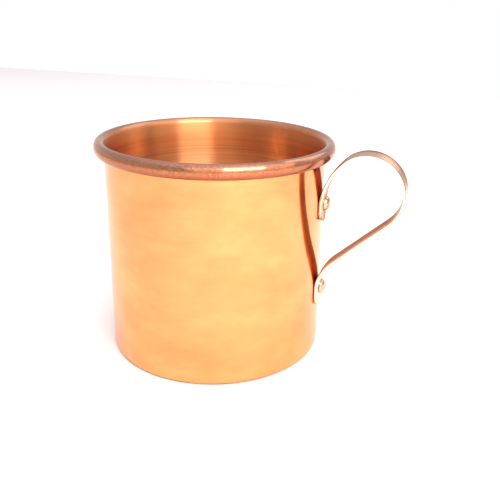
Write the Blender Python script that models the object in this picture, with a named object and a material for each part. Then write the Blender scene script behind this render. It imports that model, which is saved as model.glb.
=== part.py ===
"""Copper mug: a spun cup with a wired rim, and a reeded strap handle on two rivets.

Metres, +Z up. The origin is the centre of the underside, and the handle points along +X.
"""

import math

import bmesh
import bpy
from mathutils import Matrix, Vector

MM = 0.001
GAP = 0.3 * MM  # clearance kept between pieces that touch on the real mug
SHARP_ANGLE = math.radians(35)  # faces that meet at more than this keep a crisp edge

# Cup: one sheet, from the base through the wall to the rolled rim
WALL_RADIUS = 45.0 * MM  # outside of the wall
SHEET = 0.8 * MM
BASE_CORNER = 1.5 * MM  # outside radius of the corner between base and wall
RIM_HEIGHT = 89.0 * MM  # top of the rolled rim
BEAD_HALF_WIDTH = 2.35 * MM
BEAD_HALF_HEIGHT = 2.9 * MM
CURL_END = math.radians(-120)  # where the rolled sheet stops, under the bead
TURN_STEPS = 64  # facets round the mug

BEAD_RADIUS = WALL_RADIUS - SHEET + BEAD_HALF_WIDTH  # from the axis to the bead's middle
BEAD_HEIGHT = RIM_HEIGHT - BEAD_HALF_HEIGHT

# Wire inside the rim, with a little extra clearance for the facets of the roll
WIRE_CLEARANCE = 0.36 * MM
WIRE_RADIUS = BEAD_HALF_WIDTH - SHEET - WIRE_CLEARANCE

# Handle strip: a flat inner face, and lengthwise reeds on the outer face
STRIP_WIDTH = 10.0 * MM
STRIP_THICKNESS = 1.5 * MM
REEDS = 5
REED_DEPTH = 0.35 * MM
REED_STEPS = 4  # facets across one reed
EDGE_CHAMFER = 0.25 * MM
TAB_LINE = WALL_RADIUS + GAP + STRIP_THICKNESS / 2  # distance of the tabs' middle from the axis

# Handle route in the X-Z plane, from the upper tab round the loop to the lower tab.
# A heading is measured from straight up towards +X.
UPPER_TAB_END = 58.5 * MM
UPPER_BEND_START = 66.4 * MM
UPPER_BEND_RADIUS = 22.4 * MM
RISE_HEADING = math.radians(43.3)
RISE_LENGTH = 1.7 * MM
LOOP_RADII = (13.3 * MM, 14.7 * MM, 16.1 * MM)  # rising, falling and returning parts of the loop
RETURN_HEADING = math.radians(228.3)
LOWER_BEND_RADIUS = 15.3 * MM
LOWER_TAB_END = 21.0 * MM
STEP_ANGLE = math.radians(7)  # largest turn between two sections of a bend
REED_RUNOUT = 6.0 * MM  # the reeds fade out over this length, to leave the tabs flat for riveting

# Rivets: flat factory head inside, hammered dome outside
RIVET_HEIGHTS = {"upper_rivet": 65.7 * MM, "lower_rivet": 29.2 * MM}
SHANK_RADIUS = 1.5 * MM
HEAD_RADIUS = 3.2 * MM
HEAD_THICKNESS = 1.0 * MM
HEAD_BEVEL = 0.3 * MM
DOME_RADIUS = 3.0 * MM
DOME_HEIGHT = 1.8 * MM
RIVET_STEPS = 24
DRILL_LENGTH = 8.0 * MM  # of the cutters for the rivets' holes

# Colour and roughness of each copper
SPUN_COPPER = ((0.72, 0.33, 0.16, 1.0), 0.22)
DRAWN_COPPER = ((0.78, 0.42, 0.27, 1.0), 0.3)
HAMMERED_COPPER = ((0.76, 0.38, 0.18, 1.0), 0.28)


def clear_scene():
    for item in list(bpy.data.objects):
        bpy.data.objects.remove(item)


def metal(name, colour, roughness):
    material = bpy.data.materials.new(name)
    material.use_nodes = True
    shader = material.node_tree.nodes["Principled BSDF"]
    shader.inputs["Base Color"].default_value = colour
    shader.inputs["Metallic"].default_value = 1.0
    shader.inputs["Roughness"].default_value = roughness
    return material


def object_from(mesh_data, name, material, location=(0, 0, 0)):
    """Closes the bmesh into a named object with its faces pointing out, shaded smooth."""
    bmesh.ops.recalc_face_normals(mesh_data, faces=mesh_data.faces)
    mesh = bpy.data.meshes.new(name)
    mesh_data.to_mesh(mesh)
    mesh_data.free()
    mesh.shade_smooth()
    mesh.set_sharp_from_angle(angle=SHARP_ANGLE)
    mesh.materials.append(material)
    made = bpy.data.objects.new(name, mesh)
    made.location = location
    bpy.context.scene.collection.objects.link(made)
    return made


def arc(centre, half_width, half_height, start, end, steps):
    """Points (r, z) on an oval round centre, from the start angle to the end angle."""
    angles = [start + (end - start) * i / steps for i in range(steps + 1)]
    return [
        (centre[0] + half_width * math.cos(a), centre[1] + half_height * math.sin(a))
        for a in angles
    ]


def turned(profile, steps):
    """A bmesh made by spinning a profile of (r, z) points round the Z axis."""
    made = bmesh.new()
    verts = [made.verts.new((r, 0, z)) for r, z in profile]
    for a, b in zip(verts, verts[1:]):
        made.edges.new((a, b))
    closed = profile[0][0] > 0
    if closed:
        made.edges.new((verts[-1], verts[0]))
    bmesh.ops.spin(
        made,
        geom=made.verts[:] + made.edges[:],
        cent=(0, 0, 0),
        axis=(0, 0, 1),
        angle=math.tau,
        steps=steps,
        use_merge=True,
    )
    bmesh.ops.remove_doubles(made, verts=made.verts, dist=0.001 * MM)
    return made


def cup_profile():
    """The sheet's section: outside from the base to the curl's end, and back along the inside."""
    inner_corner = BASE_CORNER - SHEET
    inside = WALL_RADIUS - SHEET
    bead = (BEAD_RADIUS, BEAD_HEIGHT)
    corner = (WALL_RADIUS - BASE_CORNER, BASE_CORNER)
    return [
        (0, 0),
        *arc(corner, BASE_CORNER, BASE_CORNER, -math.pi / 2, 0, 4),
        *arc(bead, BEAD_HALF_WIDTH - SHEET, BEAD_HALF_HEIGHT - SHEET, math.pi, CURL_END, 10),
        *arc(bead, BEAD_HALF_WIDTH, BEAD_HALF_HEIGHT, CURL_END, math.pi, 13),
        *arc((inside - inner_corner, BASE_CORNER), inner_corner, inner_corner, 0, -math.pi / 2, 3),
        (0, SHEET),
    ]


def cut_hole(target, height):
    """Drills a rivet's hole along X through whatever of the target lies at that height."""
    bpy.ops.mesh.primitive_cylinder_add(
        vertices=RIVET_STEPS,
        radius=SHANK_RADIUS + GAP,
        depth=DRILL_LENGTH,
        location=(WALL_RADIUS, 0, height),
        rotation=(0, math.pi / 2, 0),
    )
    cutter = bpy.context.object
    cutter.name = f"{target.name}_drill_{round(height / MM)}"
    cutter.hide_render = True
    cutter.display_type = "WIRE"
    cut = target.modifiers.new("rivet hole", "BOOLEAN")
    cut.operation = "DIFFERENCE"
    cut.solver = "EXACT"
    cut.object = cutter


def make_cup(material):
    cup = object_from(turned(cup_profile(), TURN_STEPS), "mug_body", material)
    for height in RIVET_HEIGHTS.values():
        cut_hole(cup, height)


def make_wire(material):
    profile = arc((BEAD_RADIUS, BEAD_HEIGHT), WIRE_RADIUS, WIRE_RADIUS, 0, math.tau, 8)[:-1]
    object_from(turned(profile, TURN_STEPS), "rim_wire", material)


class Route:
    """A line of (x, z, heading) stations, drawn with straight runs and bends."""

    def __init__(self, x, z, heading):
        self.stations = [(x, z, heading)]

    def straight(self, length, steps=1):
        x, z, heading = self.stations[-1]
        for i in range(1, steps + 1):
            run = length * i / steps
            self.stations.append((x + run * math.sin(heading), z + run * math.cos(heading), heading))

    def bend(self, radius, end_heading):
        x, z, heading = self.stations[-1]
        turn = end_heading - heading
        side = math.copysign(radius, turn)
        centre_x = x + side * math.cos(heading)
        centre_z = z - side * math.sin(heading)
        steps = math.ceil(abs(turn) / STEP_ANGLE)
        for i in range(1, steps + 1):
            now = heading + turn * i / steps
            self.stations.append((centre_x - side * math.cos(now), centre_z + side * math.sin(now), now))


def tab_sections(tip_z, heading):
    """A tab's round lower end, from near its tip up to the strip's full width."""
    radius = STRIP_WIDTH / 2
    angles = [math.radians(a) for a in (15, 32, 50, 70, 90)]
    return [
        (TAB_LINE, tip_z + radius * (1 - math.cos(a)), heading, radius * math.sin(a), 0.0)
        for a in angles
    ]


def loop_sections():
    """The strip between its tabs, with reeds that rise from nothing near each tab."""
    route = Route(TAB_LINE, UPPER_BEND_START, 0.0)
    route.bend(UPPER_BEND_RADIUS, RISE_HEADING)
    route.straight(RISE_LENGTH)
    rising, falling, returning = LOOP_RADII
    route.bend(rising, math.pi / 2)
    route.bend(falling, math.pi)
    route.bend(returning, RETURN_HEADING)
    x = route.stations[-1][0]
    bend_width = LOWER_BEND_RADIUS * (1 + math.cos(RETURN_HEADING))
    route.straight((TAB_LINE + bend_width - x) / math.sin(RETURN_HEADING), steps=3)
    route.bend(LOWER_BEND_RADIUS, math.pi)
    gone = [0.0]
    for (x1, z1, _), (x2, z2, _) in zip(route.stations, route.stations[1:]):
        gone.append(gone[-1] + math.hypot(x2 - x1, z2 - z1))
    reeds = [min(1.0, run / REED_RUNOUT, (gone[-1] - run) / REED_RUNOUT) for run in gone]
    return [(*station, STRIP_WIDTH / 2, reed) for station, reed in zip(route.stations, reeds)]


def handle_sections():
    """All sections of the strip, as (x, z, heading, half width, reed share), from tip to tip."""
    upper_tab = tab_sections(UPPER_TAB_END, 0.0)
    lower_tab = tab_sections(LOWER_TAB_END, math.pi)
    return upper_tab + loop_sections() + lower_tab[::-1]


def strip_outline(half_width, reed_share):
    """The strip's outline (across, out): reeds on the outer face, a flat inner face."""
    half = STRIP_THICKNESS / 2
    outline = []
    for i in range(REEDS * REED_STEPS + 1):
        across = half_width * (1 - 2 * i / (REEDS * REED_STEPS))
        dip = 1 - math.sin(math.pi * (i % REED_STEPS) / REED_STEPS)
        outline.append((across, half - REED_DEPTH * reed_share * dip))
    chamfer = min(EDGE_CHAMFER, half_width / 4)
    outline += [
        (-half_width, -half + chamfer),
        (-half_width + chamfer, -half),
        (half_width - chamfer, -half),
        (half_width, -half + chamfer),
    ]
    return outline


def make_strap(material):
    made = bmesh.new()
    rings = []
    for x, z, heading, half_width, reed_share in handle_sections():
        out = Vector((-math.cos(heading), 0, math.sin(heading)))
        middle = Vector((x, 0, z))
        ring = [
            made.verts.new(middle + Vector((0, across, 0)) + out * height)
            for across, height in strip_outline(half_width, reed_share)
        ]
        rings.append(ring)
    for first, second in zip(rings, rings[1:]):
        for i, vert in enumerate(first):
            j = (i + 1) % len(first)
            made.faces.new((vert, first[j], second[j], second[i]))
    made.faces.new(rings[0])
    made.faces.new(list(reversed(rings[-1])))
    strap = object_from(made, "handle_strap", material)
    for height in RIVET_HEIGHTS.values():
        cut_hole(strap, height)


def make_rivet(name, height, material):
    """Turned about Z, then laid along +X: the inside head is at the bottom of the profile."""
    facet_radius = (WALL_RADIUS - SHEET) * math.cos(math.pi / TURN_STEPS)
    head_face = math.sqrt(facet_radius**2 - HEAD_RADIUS**2) - GAP
    dome_base = TAB_LINE + STRIP_THICKNESS / 2 + GAP
    profile = [
        (0, head_face - HEAD_THICKNESS),
        (HEAD_RADIUS - HEAD_BEVEL, head_face - HEAD_THICKNESS),
        (HEAD_RADIUS, head_face - HEAD_THICKNESS + HEAD_BEVEL),
        (HEAD_RADIUS, head_face),
        (SHANK_RADIUS, head_face),
        (SHANK_RADIUS, dome_base),
        *arc((0, dome_base), DOME_RADIUS, DOME_HEIGHT, 0, math.pi / 2, 6)[:-1],
        (0, dome_base + DOME_HEIGHT),
    ]
    made = turned(profile, RIVET_STEPS)
    bmesh.ops.rotate(
        made, verts=made.verts, cent=(0, 0, 0), matrix=Matrix.Rotation(math.pi / 2, 3, "Y")
    )
    object_from(made, name, material, location=(0, 0, height))


def main():
    clear_scene()
    spun_copper = metal("spun copper", *SPUN_COPPER)
    make_cup(spun_copper)
    make_wire(spun_copper)
    make_strap(metal("drawn copper strip", *DRAWN_COPPER))
    rivet_copper = metal("hammered copper", *HAMMERED_COPPER)
    for name, height in RIVET_HEIGHTS.items():
        make_rivet(name, height, rivet_copper)


main()
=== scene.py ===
"""Copper mug: the visual model, its studio and its camera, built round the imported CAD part.

Metres, in the CAD part's frame: the origin is the centre of the underside, +Z is up and the handle
points along +X. The cup is one spun sheet with a rolled rim round a wire, and the handle is a reeded
copper strip held by two hammered rivets.
"""

import math

import bpy
from mathutils import Matrix, Vector, noise


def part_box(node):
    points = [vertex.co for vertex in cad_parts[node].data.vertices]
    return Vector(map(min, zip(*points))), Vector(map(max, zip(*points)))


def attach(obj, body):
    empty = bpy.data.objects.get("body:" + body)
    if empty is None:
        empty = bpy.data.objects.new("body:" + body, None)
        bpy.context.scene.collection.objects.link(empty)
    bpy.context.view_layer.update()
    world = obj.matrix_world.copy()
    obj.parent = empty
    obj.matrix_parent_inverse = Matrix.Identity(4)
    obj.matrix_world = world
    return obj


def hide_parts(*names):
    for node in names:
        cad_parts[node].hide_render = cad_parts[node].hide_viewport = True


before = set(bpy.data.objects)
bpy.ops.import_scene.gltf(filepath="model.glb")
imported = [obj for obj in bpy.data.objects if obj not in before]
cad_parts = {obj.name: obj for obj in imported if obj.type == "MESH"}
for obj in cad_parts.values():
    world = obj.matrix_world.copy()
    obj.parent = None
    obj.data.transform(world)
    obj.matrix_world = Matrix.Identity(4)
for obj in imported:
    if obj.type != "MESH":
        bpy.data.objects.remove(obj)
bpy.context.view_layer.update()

MM = 0.001
BODY = "root"

# Cup, read from the frame where the frame says it
_, CUP_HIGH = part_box("mug_body")
SHEET = 0.8 * MM
BASE_CORNER = 1.5 * MM  # outside radius between base and wall
BEAD_HALF_WIDTH = 2.35 * MM
BEAD_HALF_HEIGHT = 2.9 * MM
CURL_END = math.radians(-120)
BEAD_RADIUS = CUP_HIGH.x - BEAD_HALF_WIDTH
BEAD_HEIGHT = CUP_HIGH.z - BEAD_HALF_HEIGHT
INSIDE_RADIUS = BEAD_RADIUS - BEAD_HALF_WIDTH
WALL_RADIUS = INSIDE_RADIUS + SHEET
TURN_STEPS = 256  # facets round the mug
BEAD_STEPS = 56  # facets over the outside of the rolled rim
ROLL_STEPS = 40  # facets over its inside
WALL_STEPS = 48
BASE_STEPS = 12

# Unevenness of the spun wall
WOBBLE = 0.05 * MM  # waves about 20 mm across
RIPPLE = 0.012 * MM  # waves about 6 mm across
WOBBLE_FADE = 8 * MM  # both fade out over this height, towards the base and towards the rim

# Parts of the bead that look different, in degrees round it: 0 is outside, 90 on top, 180 inside
INSIDE_START, INSIDE_FULL = 95, 175
# Under the outside of the bead the copper is darkened, as tarnish and painted shade: fully up to the first
# angle, not at all from the second
STAIN_AND_SHADE_FULL, STAIN_AND_SHADE_END = -45, 5
CREST = 90
WORN_REACH = 80  # how far the worn part, also painted lighter as a highlight, goes to either side of the crest
WORN_FADE = 23  # the last part of that reach, where it fades out
BASE_STAIN_AND_SHADE = 0.8  # share of the darkening round the base, which is tarnish and painted shade

WIRE_STEPS = 24  # facets round the wire inside the rim

# Handle strip
STRAP_LOW, STRAP_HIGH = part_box("handle_strap")
STRIP_WIDTH = STRAP_HIGH.y - STRAP_LOW.y
STRIP_THICKNESS = 1.5 * MM
REEDS = 5
REED_STEPS = 10
CROWN_STEPS = 12
REED_DEPTH = 0.38 * MM
EDGE_RADIUS = 0.35 * MM
EDGE_STEPS = 5
EDGE_REACH = 1.2 * EDGE_RADIUS  # how far in from its edges the outer face of a tab rounds off
INNER_CROWN = 0.25 * MM  # how far the inner face stands out along its middle
TAB_LINE = STRAP_LOW.x + STRIP_THICKNESS / 2
TAB_PRESS = 0.2 * MM  # how much closer than the CAD's gap the rivets press the tabs to the wall
UPPER_TAB_END = 58.5 * MM
UPPER_BEND_START = 66.4 * MM
UPPER_BEND_RADIUS = 22.4 * MM
RISE_HEADING = math.radians(43.3)
RISE_LENGTH = 1.7 * MM
LOOP_RADII = (13.3 * MM, 14.7 * MM, 16.1 * MM)
RETURN_HEADING = math.radians(228.3)
LOWER_BEND_RADIUS = 15.3 * MM
LOWER_TAB_END = STRAP_LOW.z - 0.17 * MM
STEP_ANGLE = math.radians(2.5)
STEP_LENGTH = 0.8 * MM
TIP_STEPS = 14  # sections over the round tip of a tab
REED_RUNOUT = 6.0 * MM
TAB_RUNOUT = 8.0 * MM  # over this length the strip stops following the wall's curve

# Rivets
RIVET_STEPS = 48
SHANK_RADIUS = 1.5 * MM
HEAD_THICKNESS = 1.0 * MM
HEAD_BEVEL = 0.35 * MM
DOME_RADIUS = 3.1 * MM
DOME_LIFT = 0.02 * MM  # of the dome's underside over the tab
DOME_FLATTENING = 0.1 * MM  # how much lower than the CAD part's the hammered dome ends
DOME_STEPS = 28
HAMMER_FLATS = 17
FLAT_SHARE = 0.975  # how far out the flats lie, as a share of the dome
GOLDEN_ANGLE = math.pi * (3 - math.sqrt(5))

# Camera
CAMERA_AZIMUTH = math.radians(20.5)
CAMERA_DISTANCE = 256.9 * MM
CAMERA_HEIGHT = 141.0 * MM
CAMERA_PITCH = math.radians(20.65)
CAMERA_YAW = math.radians(5.16)
CAMERA_ROLL = math.radians(1.62)
CAMERA_LENS = 45.47
CAMERA_SHIFT = (-0.04, -0.02)


# ---------------------------------------------------------------- mesh helpers


def arc(centre, half_width, half_height, start, end, steps):
    """Points (r, z) on an oval round centre, from the start angle to the end angle."""
    angles = [start + (end - start) * i / steps for i in range(steps + 1)]
    return [
        (centre[0] + half_width * math.cos(a), centre[1] + half_height * math.sin(a))
        for a in angles
    ]


def line(start, end, steps):
    """Points between start and end, without either of them."""
    return [
        tuple(a + (b - a) * i / steps for a, b in zip(start, end))
        for i in range(1, steps)
    ]


def add_piece(name, verts, faces, material, replaced, attributes=(), sharp=40):
    """Makes a piece from its vertices and faces, and ties it to the frame."""
    mesh = bpy.data.meshes.new(name)
    mesh.from_pydata(verts, [], faces)
    mesh.validate()
    for label, kind, values in attributes:
        layer = mesh.attributes.new(label, kind, "POINT")
        if kind == "FLOAT_VECTOR":
            layer.data.foreach_set("vector", [x for value in values for x in value])
        else:
            layer.data.foreach_set("value", values)
    mesh.shade_smooth()
    mesh.set_sharp_from_angle(angle=math.radians(sharp))
    mesh.materials.append(material)
    piece = bpy.data.objects.new(name, mesh)
    bpy.context.scene.collection.objects.link(piece)
    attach(piece, BODY)
    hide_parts(replaced)


def smooth(share):
    """0 to 1 with soft ends, for a share that may lie outside them."""
    share = max(0.0, min(1.0, share))
    return share * share * (3 - 2 * share)


# ---------------------------------------------------------------- cup


def rim_points():
    """The outside of the rolled rim, from the curl's end over the top to the inside of the cup."""
    bead = (BEAD_RADIUS, BEAD_HEIGHT)
    return arc(bead, BEAD_HALF_WIDTH, BEAD_HALF_HEIGHT, CURL_END, math.pi, BEAD_STEPS)


def cup_profile():
    """The sheet's section: outside from the base to the curl's end, and back along the inside."""
    inner_corner = BASE_CORNER - SHEET
    bead = (BEAD_RADIUS, BEAD_HEIGHT)
    outer_centre = (WALL_RADIUS - BASE_CORNER, BASE_CORNER)
    inner_centre = (INSIDE_RADIUS - inner_corner, BASE_CORNER)
    corner = arc(outer_centre, BASE_CORNER, BASE_CORNER, -math.pi / 2, 0, 8)
    roll = arc(bead, BEAD_HALF_WIDTH - SHEET, BEAD_HALF_HEIGHT - SHEET, math.pi, CURL_END, ROLL_STEPS)
    rim = rim_points()
    floor = arc(inner_centre, inner_corner, inner_corner, 0, -math.pi / 2, 6)
    return [
        (0, 0),
        *line((0, 0), corner[0], BASE_STEPS),
        *corner,
        *line(corner[-1], roll[0], WALL_STEPS),
        *roll,
        *rim,
        *line(rim[-1], floor[0], WALL_STEPS),
        *floor,
        *line(floor[-1], (0, SHEET), BASE_STEPS),
        (0, SHEET),
    ]


def wall_wobble(angle, z):
    """How far the spun wall strays from a true cylinder: nothing at the base and under the rim."""
    above_base = z - 3 * MM
    below_rim = BEAD_HEIGHT - 6 * MM - z
    fade = max(0.0, min(1.0, above_base / WOBBLE_FADE, below_rim / WOBBLE_FADE))
    place = Vector((math.cos(angle), math.sin(angle), z / WALL_RADIUS))
    return WOBBLE * fade * noise.noise(place * 2.2) + RIPPLE * fade * noise.noise(place * 7)


def bead_share(index, profile):
    """How far round the bead a profile point is: 0 at the curl's end, 1 where the inside starts."""
    rim = rim_points()
    return (index - profile.index(rim[0])) / (len(rim) - 1)


def bead_degrees(share):
    """A share round the bead as an angle: 0 outside, 90 on top, 180 inside."""
    return math.degrees(CURL_END + (math.pi - CURL_END) * share)


def cup_zone(index, profile):
    """A profile point's shares in the inside, in the bead, and in the darker parts under the bead and round
    the base, which are tarnish and painted shade.
    """
    share = bead_share(index, profile)
    if share > 1:
        return (1.0, 0.0, 0.0)
    if share < 0:
        r, z = profile[index]
        at_corner = r > WALL_RADIUS - BASE_CORNER and z < 0.6 * BASE_CORNER
        return (0.0, 0.0, BASE_STAIN_AND_SHADE if at_corner else 0.0)
    angle = bead_degrees(share)
    inside = smooth((angle - INSIDE_START) / (INSIDE_FULL - INSIDE_START))
    # darker under the bead: tarnish and painted shade
    stain_and_shade = 1 - smooth((angle - STAIN_AND_SHADE_FULL) / (STAIN_AND_SHADE_END - STAIN_AND_SHADE_FULL))
    return (inside, 1 - inside, stain_and_shade)


def crest_wear_and_highlight(index, profile):
    """How far the bead's top is worn bright and painted lighter as a highlight at a profile point, from 0 to
    1.
    """
    from_crest = abs(bead_degrees(bead_share(index, profile)) - CREST)
    return smooth((WORN_REACH - from_crest) / WORN_FADE)


def make_cup(material):
    profile = cup_profile()
    runs = [0.0]
    for (r1, z1), (r2, z2) in zip(profile, profile[1:]):
        runs.append(runs[-1] + math.hypot(r2 - r1, z2 - z1))
    zone_of = [cup_zone(k, profile) for k in range(len(profile))]
    wear_and_highlight_of = [crest_wear_and_highlight(k, profile) for k in range(len(profile))]
    verts, spin = [(0, 0, profile[0][1])], [(0.0, 0.0, runs[0])]
    zones, wear_and_highlight = [zone_of[0]], [wear_and_highlight_of[0]]
    for k in range(1, len(profile) - 1):
        r, z = profile[k]
        on_wall = abs(r - WALL_RADIUS) < 0.1 * MM or abs(r - INSIDE_RADIUS) < 0.1 * MM
        for i in range(TURN_STEPS):
            angle = math.tau * i / TURN_STEPS
            radius = r + (wall_wobble(angle, z) if on_wall else 0)
            verts.append((radius * math.cos(angle), radius * math.sin(angle), z))
            spin.append((WALL_RADIUS * math.cos(angle), WALL_RADIUS * math.sin(angle), runs[k]))
            zones.append(zone_of[k])
            wear_and_highlight.append(wear_and_highlight_of[k])
    verts.append((0, 0, profile[-1][1]))
    spin.append((0.0, 0.0, runs[-1]))
    zones.append(zone_of[-1])
    wear_and_highlight.append(wear_and_highlight_of[-1])
    faces = []
    rings = len(profile) - 2
    for i in range(TURN_STEPS):
        j = (i + 1) % TURN_STEPS
        faces.append((0, 1 + j, 1 + i))
        for k in range(rings - 1):
            low, high = 1 + k * TURN_STEPS, 1 + (k + 1) * TURN_STEPS
            faces.append((low + i, low + j, high + j, high + i))
        last = 1 + (rings - 1) * TURN_STEPS
        faces.append((last + i, last + j, len(verts) - 1))
    add_piece(
        "cup_shell", verts, faces, material, "mug_body",
        [("spin", "FLOAT_VECTOR", spin), ("zones", "FLOAT_VECTOR", zones), ("wear_and_highlight", "FLOAT", wear_and_highlight)],
    )


def make_wire(material):
    low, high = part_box("rim_wire")
    radius = (high.z - low.z) / 2
    centre = high.x - radius
    verts, faces = [], []
    for i in range(TURN_STEPS):
        angle = math.tau * i / TURN_STEPS
        here, there = i * WIRE_STEPS, (i + 1) % TURN_STEPS * WIRE_STEPS
        for k in range(WIRE_STEPS):
            turn = math.tau * k / WIRE_STEPS
            r = centre + radius * math.cos(turn)
            verts.append((r * math.cos(angle), r * math.sin(angle), BEAD_HEIGHT + radius * math.sin(turn)))
            m = (k + 1) % WIRE_STEPS
            faces.append((here + k, there + k, there + m, here + m))
    add_piece("rim_wire_ring", verts, faces, material, "rim_wire")


# ---------------------------------------------------------------- handle strip


class Route:
    """A line of (x, z, heading) stations, drawn with straight runs and bends."""

    def __init__(self, x, z, heading):
        self.stations = [(x, z, heading)]

    def straight(self, length):
        x, z, heading = self.stations[-1]
        steps = max(1, round(length / STEP_LENGTH))
        for i in range(1, steps + 1):
            run = length * i / steps
            self.stations.append((x + run * math.sin(heading), z + run * math.cos(heading), heading))

    def bend(self, radius, end_heading):
        x, z, heading = self.stations[-1]
        turn = end_heading - heading
        side = math.copysign(radius, turn)
        centre_x = x + side * math.cos(heading)
        centre_z = z - side * math.sin(heading)
        steps = math.ceil(abs(turn) / STEP_ANGLE)
        for i in range(1, steps + 1):
            now = heading + turn * i / steps
            self.stations.append((centre_x - side * math.cos(now), centre_z + side * math.sin(now), now))


def tab_stations(tip_z, top_z, heading):
    """A tab from its round lower tip up to the bend: (x, z, heading, half width)."""
    radius = STRIP_WIDTH / 2
    made = []
    for i in range(1, TIP_STEPS + 1):
        a = math.radians(90) * i / TIP_STEPS
        made.append((TAB_LINE, tip_z + radius * (1 - math.cos(a)), heading, radius * math.sin(a)))
    length = top_z - tip_z - radius
    steps = max(1, round(length / STEP_LENGTH))
    for i in range(1, steps):
        made.append((TAB_LINE, tip_z + radius + length * i / steps, heading, radius))
    return made


def strap_stations():
    """Every section of the strip from tip to tip.

    Each is (x, z, heading, half width, reed share, tab share, length of strip up to it).
    """
    route = Route(TAB_LINE, UPPER_BEND_START, 0.0)
    route.bend(UPPER_BEND_RADIUS, RISE_HEADING)
    route.straight(RISE_LENGTH)
    rising, falling, returning = LOOP_RADII
    route.bend(rising, math.pi / 2)
    route.bend(falling, math.pi)
    route.bend(returning, RETURN_HEADING)
    bend_width = LOWER_BEND_RADIUS * (1 + math.cos(RETURN_HEADING))
    route.straight((TAB_LINE + bend_width - route.stations[-1][0]) / math.sin(RETURN_HEADING))
    route.bend(LOWER_BEND_RADIUS, math.pi)
    lower_top = route.stations[-1][1]
    loop = [(*station, STRIP_WIDTH / 2) for station in route.stations]
    upper = tab_stations(UPPER_TAB_END, UPPER_BEND_START, 0.0)
    lower = tab_stations(LOWER_TAB_END, lower_top, math.pi)[::-1]
    stations = upper + loop + lower
    runs = [0.0]
    for (x1, z1, *_), (x2, z2, *_) in zip(stations, stations[1:]):
        runs.append(runs[-1] + math.hypot(x2 - x1, z2 - z1))
    start, end = runs[len(upper)], runs[len(upper) + len(loop) - 1]
    made = []
    for station, run in zip(stations, runs):
        inward = min(run - start, end - run)
        reed = max(0.0, min(1.0, inward / REED_RUNOUT))
        tab = 1 - max(0.0, min(1.0, inward / TAB_RUNOUT))
        made.append((*station, reed, tab, run))
    return made


def strip_outline(half_width, reed_share):
    """The strip's outline (across, out): reeds outside, a slight crown inside, round edges."""
    half = STRIP_THICKNESS / 2
    crown = INNER_CROWN * reed_share
    outline = []
    count = REEDS * REED_STEPS
    for i in range(count + 1):
        across = half_width * (1 - 2 * i / count)
        dip = 1 - math.sin(math.pi * (i % REED_STEPS) / REED_STEPS)
        near_edge = max(0.0, (abs(across) - half_width + EDGE_REACH) / EDGE_REACH)
        rounding = EDGE_RADIUS * (1 - math.sqrt(max(0.0, 1 - near_edge**2)))
        outline.append((across, half - REED_DEPTH * reed_share * dip - rounding * (1 - reed_share)))
    radius = min(EDGE_RADIUS, half_width / 3)
    flat = half_width - radius
    level = -half + crown + radius
    outline += arc((-flat, level), radius, radius, math.pi, 1.5 * math.pi, EDGE_STEPS)
    for i in range(1, CROWN_STEPS):
        across = flat * (2 * i / CROWN_STEPS - 1)
        outline.append((across, -half + crown * (across / flat) ** 2))
    outline += arc((flat, level), radius, radius, 1.5 * math.pi, 2 * math.pi, EDGE_STEPS)
    return outline


def make_strap(material):
    verts, faces, places, reliefs = [], [], [], []
    stations = strap_stations()
    reach = max(x - math.cos(heading) * STRIP_THICKNESS / 2 for x, _, heading, *_ in stations)
    fit = (STRAP_HIGH.x - TAB_LINE) / (reach - TAB_LINE)  # makes the loop end on the CAD part's box
    inner_face = INNER_CROWN - STRIP_THICKNESS / 2
    for x, z, heading, half_width, reed, tab, run in stations:
        out = Vector((-math.cos(heading), 0, math.sin(heading)))
        for across, height in strip_outline(half_width, reed):
            hug = tab * (math.sqrt(TAB_LINE**2 - across**2) - TAB_LINE - TAB_PRESS)
            x_fitted = TAB_LINE + (x - TAB_LINE) * fit
            verts.append(Vector((x_fitted + hug, across, z)) + out * height)
            places.append((across, height, run))
            outer = smooth(height / STRIP_THICKNESS + 0.5)
            ridge = 0.5 - 0.5 * math.cos(math.pi * REEDS * (across / half_width + 1))
            inner = 1.0 if height < inner_face + 0.02 * MM else 0.0
            edge = 1.0 if abs(across) > half_width - 0.1 * MM else 0.0
            reliefs.append((reed * outer * (1 - ridge), inner, edge))
    count = len(verts) // len(stations)
    for s in range(len(stations) - 1):
        a, b = s * count, (s + 1) * count
        for i in range(count):
            j = (i + 1) % count
            faces.append((a + i, a + j, b + j, b + i))
    faces.append(tuple(reversed(range(count))))
    faces.append(tuple(range((len(stations) - 1) * count, len(stations) * count)))
    add_piece(
        "handle_strip", verts, faces, material, "handle_strap",
        [("strip", "FLOAT_VECTOR", places), ("relief", "FLOAT_VECTOR", reliefs)], sharp=50,
    )


# ---------------------------------------------------------------- rivets


def hammer_flats(seed):
    """Directions of the flats that the hammer left on a dome, spread evenly over it."""
    flats = []
    for i in range(HAMMER_FLATS):
        lift = 1 - 0.95 * (i + 0.5) / HAMMER_FLATS
        turn = i * GOLDEN_ANGLE + seed
        side = math.sqrt(1 - lift**2)
        flats.append(Vector((lift, side * math.cos(turn), side * math.sin(turn))))
    return flats


def reach_to_flats(direction, flats):
    """How far out the flats let a dome of radius 1 reach in a direction."""
    return min(FLAT_SHARE / max(direction.dot(flat), 0.2) for flat in flats)


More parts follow.
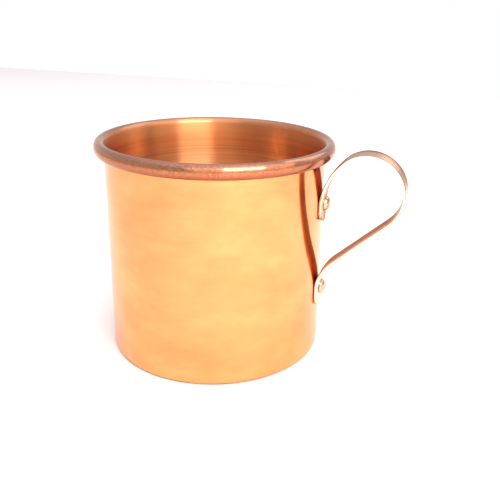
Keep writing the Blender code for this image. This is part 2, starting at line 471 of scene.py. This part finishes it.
def make_rivet(node, name, material, seed):
    """A rivet along X: points (r, x) from the inside head's middle to the dome's tip, turned."""
    low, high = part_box(node)
    height = (low.z + high.z) / 2
    head_radius = (high.z - low.z) / 2
    head_face = low.x + HEAD_THICKNESS
    bevel_centre = (head_radius - HEAD_BEVEL, low.x + HEAD_BEVEL)
    dome_base = TAB_LINE + STRIP_THICKNESS / 2 - TAB_PRESS + DOME_LIFT
    dome_height = high.x - dome_base - DOME_FLATTENING
    profile = [
        *line((0, low.x), (head_radius - HEAD_BEVEL, low.x), 6),
        *arc(bevel_centre, HEAD_BEVEL, HEAD_BEVEL, -math.pi / 2, 0, 5),
        (head_radius, head_face),
        (SHANK_RADIUS, head_face + 0.01 * MM),
        (SHANK_RADIUS, dome_base),
        (DOME_RADIUS - 0.2 * MM, dome_base),
        *arc((0, dome_base), DOME_RADIUS, dome_height, 0.02, math.pi / 2, DOME_STEPS)[:-1],
    ]
    flats = hammer_flats(seed)
    verts, faces = [(low.x, 0, height)], []
    for r, x in profile:
        for i in range(RIVET_STEPS):
            turn = math.tau * i / RIVET_STEPS
            point = Vector((x, r * math.cos(turn), r * math.sin(turn)))
            if x > dome_base:
                unit = Vector(((x - dome_base) / dome_height, point.y / DOME_RADIUS, point.z / DOME_RADIUS))
                unit = unit.normalized() * min(unit.length, reach_to_flats(unit.normalized(), flats))
                point = Vector((dome_base + unit.x * dome_height, unit.y * DOME_RADIUS, unit.z * DOME_RADIUS))
            verts.append((point.x, point.y, point.z + height))
    tip_reach = min(1.0, reach_to_flats(Vector((1, 0, 0)), flats))
    verts.append((dome_base + dome_height * tip_reach, 0, height))
    rings = len(profile)
    for i in range(RIVET_STEPS):
        j = (i + 1) % RIVET_STEPS
        faces.append((0, 1 + j, 1 + i))
        for k in range(rings - 1):
            a, b = 1 + k * RIVET_STEPS, 1 + (k + 1) * RIVET_STEPS
            faces.append((a + i, a + j, b + j, b + i))
        last = 1 + (rings - 1) * RIVET_STEPS
        faces.append((last + i, last + j, len(verts) - 1))
    add_piece(name, verts, faces, material, node, sharp=60)


# ---------------------------------------------------------------- materials


class Graph:
    """A short way to write a material's node graph."""

    def __init__(self, name):
        self.material = bpy.data.materials.new(name)
        self.material.use_nodes = True
        self.tree = self.material.node_tree
        self.shader = self.tree.nodes["Principled BSDF"]

    def node(self, kind, inputs=None, **settings):
        made = self.tree.nodes.new(f"ShaderNode{kind}")
        for key, value in settings.items():
            setattr(made, key, value)
        for key, value in (inputs or {}).items():
            self.put(made.inputs[key], value)
        return made

    def put(self, socket, value):
        if isinstance(value, bpy.types.NodeSocket):
            self.tree.links.new(value, socket)
        else:
            socket.default_value = value

    def ramp(self, factor, stops):
        """Colours (r, g, b) at positions from 0 to 1, blended between them."""
        made = self.node("ValToRGB", {"Fac": factor})
        elements = made.color_ramp.elements
        while len(elements) < len(stops):
            elements.new(0.5)
        for element, (position, colour) in zip(elements, stops):
            element.position = position
            element.color = (*colour, 1)
        return made.outputs["Color"]

    def noise(self, vector, scale, detail=2.0, roughness=0.5):
        inputs = {"Vector": vector, "Scale": scale, "Detail": detail, "Roughness": roughness}
        return self.node("TexNoise", inputs).outputs["Fac"]

    def stretch(self, vector, scale):
        made = self.node("VectorMath", {0: vector, 1: scale}, operation="MULTIPLY")
        return made.outputs["Vector"]

    def math(self, operation, *values):
        made = self.node("Math", operation=operation)
        for socket, value in zip(made.inputs, values):
            self.put(socket, value)
        return made.outputs["Value"]

    def mix(self, factor, a, b):
        made = self.node("Mix", data_type="RGBA")
        self.put(made.inputs["Factor"], factor)
        self.put(made.inputs[6], a)
        self.put(made.inputs[7], b)
        return made.outputs[2]

    def range(self, value, low, high, to_low, to_high):
        inputs = {"Value": value, "From Min": low, "From Max": high, "To Min": to_low, "To Max": to_high}
        return self.node("MapRange", inputs).outputs["Result"]

    def attribute(self, name, output="Vector"):
        return self.node("Attribute", attribute_name=name).outputs[output]

    def split(self, vector):
        """The X, Y and Z of a vector."""
        made = self.node("SeparateXYZ", {0: vector})
        return [made.outputs[axis] for axis in "XYZ"]

    def place(self):
        return self.node("TexCoord").outputs["Object"]


# Coppers of the cup: clouds on its wall and tool marks inside, each by the value of its noise
WALL_TINTS = [(0.32, (0.86, 0.345, 0.135)), (0.5, (0.90, 0.39, 0.155)), (0.68, (0.93, 0.44, 0.18))]
MARK_TINTS = [(0.40, (0.64, 0.235, 0.09)), (0.47, (0.80, 0.325, 0.13)), (0.7, (0.93, 0.42, 0.18))]

# Coppers of the places that differ
LINE_TINT = (0.80, 0.31, 0.12, 1)  # along the lathe's lines
STAIN_TINT = (0.40, 0.155, 0.095, 1)  # in the grain of the bead
UNDER_STAIN_AND_SHADE_TINT = (0.36, 0.10, 0.05, 1)  # tarnish and painted shade, under the bead and round the base
WORN_AND_HIGHLIGHT_TINT = (0.96, 0.60, 0.40, 1)  # on the crest of the bead: wear and painted highlight
SPECK_TINT = (0.42, 0.16, 0.07, 1)
DEEP_PAINTED_LIGHT_TINT = (0.92, 0.64, 0.35, 1)  # painted light, low on the inside
LIP_PAINTED_LIGHT_TINT = (0.96, 0.46, 0.20, 1)  # painted light, high on the inside
DEEP_FULL, DEEP_END = 60 * MM, 78 * MM  # heights
LIP_START, LIP_FULL = 80 * MM, 85.5 * MM

# Roughness of the cup's wall, and what is added to it in other places
WALL_ROUGHNESS = 0.178
INSIDE_ROUGHER = 0.155
BEAD_ROUGHER = 0.015
LIP_ROUGHER = 0.12
COAT_ROUGHNESS = 0.14  # of the clear shine on the worn crest


def spun_copper():
    """Copper spun on a lathe: fine lines round the axis, soft colour patches, small scratches."""
    g = Graph("spun copper")
    spin = g.attribute("spin")
    inside, bead, stain_and_shade = g.split(g.attribute("zones"))
    worn = g.attribute("wear_and_highlight", "Fac")
    level = g.split(g.place())[2]
    lines = g.noise(g.stretch(spin, (8, 8, 5200)), 1, 3, 0.6)
    grain = g.noise(spin, 1900, 3, 0.7)

    # Outside: cloudy patches, lathe lines, a grained and stained bead, tarnish and painted shade under it and
    # round the base, a crest that is worn and painted lighter as a highlight, specks
    cloud = g.noise(g.stretch(spin, (1, 1, 1.6)), 55, 4, 0.6)
    tint = g.ramp(cloud, WALL_TINTS)
    tint = g.mix(g.range(lines, 0.3, 0.75, 0.0, 0.12), tint, LINE_TINT)
    tint = g.mix(g.math("MULTIPLY", bead, g.range(grain, 0.38, 0.6, 0.45, 1.0)), tint, STAIN_TINT)
    # Darker under the bead and round the base: part tarnish, part painted shade
    tint = g.mix(g.math("MULTIPLY", stain_and_shade, 0.75), tint, UNDER_STAIN_AND_SHADE_TINT)
    # The crest is lighter: part wear, part painted highlight
    tint = g.mix(g.math("MULTIPLY", worn, 0.12), tint, WORN_AND_HIGHLIGHT_TINT)
    specks = g.range(g.noise(spin, 1300, 1), 0.77, 0.82, 0, 0.6)
    tint = g.mix(specks, tint, SPECK_TINT)

    # Inside: dark marks from the spinning tool, deeper down a lighter, yellower copper and just under the lip
    # a brighter one, both painted light
    marks = g.noise(g.stretch(spin, (3, 3, 620)), 1, 3, 0.65)
    inner = g.ramp(marks, MARK_TINTS)
    # Lighter, yellower copper deeper down: painted light
    inner = g.mix(g.range(level, DEEP_FULL, DEEP_END, 0.7, 0), inner, DEEP_PAINTED_LIGHT_TINT)
    # Brighter copper just under the lip: painted light
    lip = g.math("MULTIPLY", inside, g.range(level, LIP_START, LIP_FULL, 0, 1))
    inner = g.mix(lip, inner, LIP_PAINTED_LIGHT_TINT)
    g.put(g.shader.inputs["Base Color"], g.mix(inside, tint, inner))
    g.shader.inputs["Metallic"].default_value = 1.0

    # Shine, drawn out across the lathe's lines
    rougher = g.math("MULTIPLY", inside, INSIDE_ROUGHER)
    rougher = g.math("ADD", rougher, g.math("MULTIPLY", bead, BEAD_ROUGHER))
    rougher = g.math("ADD", rougher, g.math("MULTIPLY", lip, LIP_ROUGHER))
    streaks = g.range(lines, 0.3, 0.7, -0.03, 0.03)
    g.put(g.shader.inputs["Roughness"], g.math("ADD", g.math("ADD", rougher, WALL_ROUGHNESS), streaks))
    g.shader.inputs["Anisotropic"].default_value = 1.0
    g.shader.inputs["Anisotropic Rotation"].default_value = 0.25
    tangent = g.node("Tangent", direction_type="RADIAL", axis="Z")
    g.put(g.shader.inputs["Tangent"], tangent.outputs["Tangent"])
    g.put(g.shader.inputs["Coat Weight"], worn)
    g.shader.inputs["Coat Roughness"].default_value = COAT_ROUGHNESS

    # Relief: lines, broader rings, scratches, and a coarse grain under the bead and round the base
    rings = g.noise(g.stretch(spin, (14, 14, 900)), 1, 2)
    scratches = g.range(g.noise(g.stretch(spin, (90, 90, 1500)), 1, 1), 0.70, 0.74, 0, -0.9)
    relief = g.math("ADD", g.math("MULTIPLY", lines, 0.4), g.math("ADD", rings, scratches))
    relief = g.math("ADD", relief, g.math("MULTIPLY", stain_and_shade, g.math("MULTIPLY", grain, 12)))
    bump = g.node("Bump", {"Strength": 0.3, "Distance": 0.012 * MM, "Height": relief})
    g.put(g.shader.inputs["Normal"], bump.outputs["Normal"])
    return g.material


# Coppers across the strip, from one edge to the other: the fade from light to dark imitates the
# light and shade that the strip has in the photo
OUTER_TINTS = [
    (0.0, (0.99, 0.78, 0.62)),
    (0.52, (0.98, 0.70, 0.52)),
    (0.74, (0.64, 0.30, 0.20)),
    (1.0, (0.36, 0.15, 0.10)),
]
INNER_TINTS = [
    (0.0, (0.95, 0.62, 0.46)),
    (0.16, (0.86, 0.48, 0.33)),
    (0.32, (0.50, 0.21, 0.10)),
    (0.86, (0.50, 0.21, 0.10)),
    (1.0, (0.32, 0.13, 0.07)),
]


def strip_copper():
    """Copper strip drawn through a reeding die: long streaks, tarnish in the grooves, bright ridges, and
    painted light and shade across it and on its side faces.
    """
    g = Graph("strip copper")
    strip = g.attribute("strip")
    groove, inner, edge = g.split(g.attribute("relief"))
    across, out, _ = g.split(strip)
    side = g.range(across, -STRIP_WIDTH / 2, STRIP_WIDTH / 2, 0, 1)
    streaks = g.noise(g.stretch(strip, (2600, 2600, 26)), 1, 3, 0.6)
    cloud = g.noise(strip, 160, 3)
    # The fade across the strip from light to dark is painted light and shade
    tint = g.mix(g.range(cloud, 0.35, 0.65, 0, 0.15), g.ramp(side, OUTER_TINTS), (0.90, 0.48, 0.32, 1))
    tint = g.mix(g.range(streaks, 0.35, 0.7, 0, 0.2), tint, (0.80, 0.42, 0.26, 1))
    tint = g.mix(g.range(groove, 0.45, 0.8, 0, 0.9), tint, (0.20, 0.08, 0.045, 1))
    tint = g.mix(inner, tint, g.ramp(side, INNER_TINTS))
    # The strip's narrow side faces are painted darker as shade, and lighter along their middle as a painted
    # highlight
    tint = g.mix(edge, tint, (0.40, 0.17, 0.11, 1))
    flank_highlight = g.range(g.math("ABSOLUTE", out), 0.4 * MM, 0.6 * MM, 1, 0)
    tint = g.mix(g.math("MULTIPLY", edge, flank_highlight), tint, (1.0, 0.82, 0.70, 1))
    g.put(g.shader.inputs["Base Color"], tint)
    g.shader.inputs["Metallic"].default_value = 1.0
    worn = g.range(streaks, 0.3, 0.7, 0.22, 0.32)
    g.put(g.shader.inputs["Roughness"], g.math("ADD", worn, g.math("MULTIPLY", inner, 0.2)))
    bump = g.node("Bump", {"Strength": 0.15, "Distance": 0.005 * MM, "Height": streaks})
    g.put(g.shader.inputs["Normal"], bump.outputs["Normal"])
    return g.material


def hammered_copper(name, seed):
    """Hammered copper: soft dents, a darker skin between them."""
    g = Graph(name)
    moved = g.node("VectorMath", {0: g.place(), 1: (seed, seed, 0)}, operation="ADD")
    dents = g.noise(moved.outputs["Vector"], 700, 2)
    tint = g.ramp(dents, [(0.35, (0.80, 0.38, 0.22)), (0.65, (0.95, 0.60, 0.44))])
    g.put(g.shader.inputs["Base Color"], tint)
    g.shader.inputs["Metallic"].default_value = 1.0
    g.put(g.shader.inputs["Roughness"], g.range(dents, 0.3, 0.7, 0.22, 0.12))
    bump = g.node("Bump", {"Strength": 0.5, "Distance": 0.08 * MM, "Height": dents})
    g.put(g.shader.inputs["Normal"], bump.outputs["Normal"])
    return g.material


def wire_copper():
    """Drawn copper wire, dull inside the rim."""
    g = Graph("wire copper")
    streaks = g.noise(g.place(), 900, 3)
    tint = g.ramp(streaks, [(0.3, (0.79, 0.33, 0.16)), (0.7, (0.85, 0.36, 0.17))])
    g.put(g.shader.inputs["Base Color"], tint)
    g.shader.inputs["Metallic"].default_value = 1.0
    g.put(g.shader.inputs["Roughness"], g.range(streaks, 0.3, 0.7, 0.31, 0.39))
    return g.material


# ---------------------------------------------------------------- studio


FLOOR_LEVEL = -0.05 * MM  # just under the mug, so that the two don't flicker
FLOOR_HALF = 0.9


def make_floor():
    g = Graph("pale floor")
    g.shader.inputs["Base Color"].default_value = (0.9, 0.9, 0.9, 1)
    g.shader.inputs["Roughness"].default_value = 0.8
    signs = ((-1, -1), (1, -1), (1, 1), (-1, 1))
    mesh = bpy.data.meshes.new("studio_floor")
    mesh.from_pydata([(FLOOR_HALF * x, FLOOR_HALF * y, FLOOR_LEVEL) for x, y in signs], [], [(0, 1, 2, 3)])
    mesh.materials.append(g.material)
    floor = bpy.data.objects.new("studio_floor", mesh)
    bpy.context.scene.collection.objects.link(floor)


LIGHT_AIM = Vector((0, 0, 50 * MM))


def area(name, azimuth, elevation, distance, size, power, colour):
    """A soft light, placed by degrees right of the camera and degrees above the horizon."""
    data = bpy.data.lights.new(name, "AREA")
    data.shape = "RECTANGLE"
    data.size, data.size_y = size
    data.energy = power
    data.color = colour
    light = bpy.data.objects.new(name, data)
    turn = math.radians(azimuth) + CAMERA_AZIMUTH
    rise = math.radians(elevation)
    back = Vector((math.sin(turn) * math.cos(rise), -math.cos(turn) * math.cos(rise), math.sin(rise)))
    light.location = LIGHT_AIM + back * distance
    light.rotation_euler = back.to_track_quat("Z", "Y").to_euler()
    bpy.context.scene.collection.objects.link(light)
    return light


def make_lights():
    """A bright window, the lit wall round it, a dim window at the side, and light from above.

    The light from above is not seen in reflections.
    """
    area(
        "window", azimuth=26.5, elevation=36, distance=0.8,
        size=(0.48, 0.17), power=4.1, colour=(1, 0.9, 0.84),
    )
    area(
        "window_surround", azimuth=27, elevation=36, distance=0.85,
        size=(1.7, 0.95), power=5.6, colour=(1, 0.72, 0.5),
    )
    area(
        "side_window", azimuth=118, elevation=40, distance=0.8,
        size=(0.5, 0.45), power=0.7, colour=(1, 0.93, 0.85),
    )
    overhead = area(
        "overhead", azimuth=0, elevation=89, distance=1.2,
        size=(1.6, 1.6), power=12, colour=(1, 1, 1),
    )
    overhead.visible_glossy = False


# The studio's walls and ceiling, by the height of the direction: 0 at the horizon, 1 overhead
SKY = [
    (0.0, (0.72, 0.60, 0.54)),
    (0.14, (0.72, 0.60, 0.54)),
    (0.34, (0.56, 0.52, 0.55)),
    (0.6, (0.56, 0.52, 0.55)),
    (0.95, (1.00, 0.95, 1.00)),
]


def make_world():
    """The sky lights and is mirrored in the mug, while the camera sees plain white behind it."""
    world = bpy.data.worlds.new("studio")
    bpy.context.scene.world = world
    world.use_nodes = True
    tree = world.node_tree
    background = tree.nodes["Background"]
    path = tree.nodes.new("ShaderNodeLightPath")
    coordinates = tree.nodes.new("ShaderNodeTexCoord")
    split = tree.nodes.new("ShaderNodeSeparateXYZ")
    ramp = tree.nodes.new("ShaderNodeValToRGB")
    mix = tree.nodes.new("ShaderNodeMix")
    mix.data_type = "RGBA"
    tree.links.new(coordinates.outputs["Generated"], split.inputs[0])
    tree.links.new(split.outputs["Z"], ramp.inputs[0])
    while len(ramp.color_ramp.elements) < len(SKY):
        ramp.color_ramp.elements.new(0.5)
    for element, (height, colour) in zip(ramp.color_ramp.elements, SKY):
        element.position = height
        element.color = (*colour, 1)
    tree.links.new(path.outputs["Is Camera Ray"], mix.inputs["Factor"])
    tree.links.new(ramp.outputs[0], mix.inputs[6])
    mix.inputs[7].default_value = (1, 1, 1, 1)
    tree.links.new(mix.outputs[2], background.inputs["Color"])


def make_camera():
    data = bpy.data.cameras.new("camera")
    data.lens = CAMERA_LENS
    data.shift_x, data.shift_y = CAMERA_SHIFT
    data.clip_start = 0.01
    camera = bpy.data.objects.new("camera", data)
    place = Vector((math.sin(CAMERA_AZIMUTH), -math.cos(CAMERA_AZIMUTH), 0)) * CAMERA_DISTANCE
    turn = (
        Matrix.Rotation(CAMERA_AZIMUTH - CAMERA_YAW, 4, "Z")
        @ Matrix.Rotation(math.pi / 2 - CAMERA_PITCH, 4, "X")
        @ Matrix.Rotation(CAMERA_ROLL, 4, "Z")
    )
    camera.matrix_world = Matrix.Translation((place.x, place.y, CAMERA_HEIGHT)) @ turn
    bpy.context.scene.collection.objects.link(camera)
    bpy.context.scene.camera = camera


make_cup(spun_copper())
make_wire(wire_copper())
make_strap(strip_copper())
make_rivet("upper_rivet", "rivet_upper", hammered_copper("hammered copper upper", 0.4), 0.4)
make_rivet("lower_rivet", "rivet_lower", hammered_copper("hammered copper lower", 1.9), 1.9)
make_floor()
make_lights()
make_world()
make_camera()
bpy.context.scene.view_settings.view_transform = "Standard"
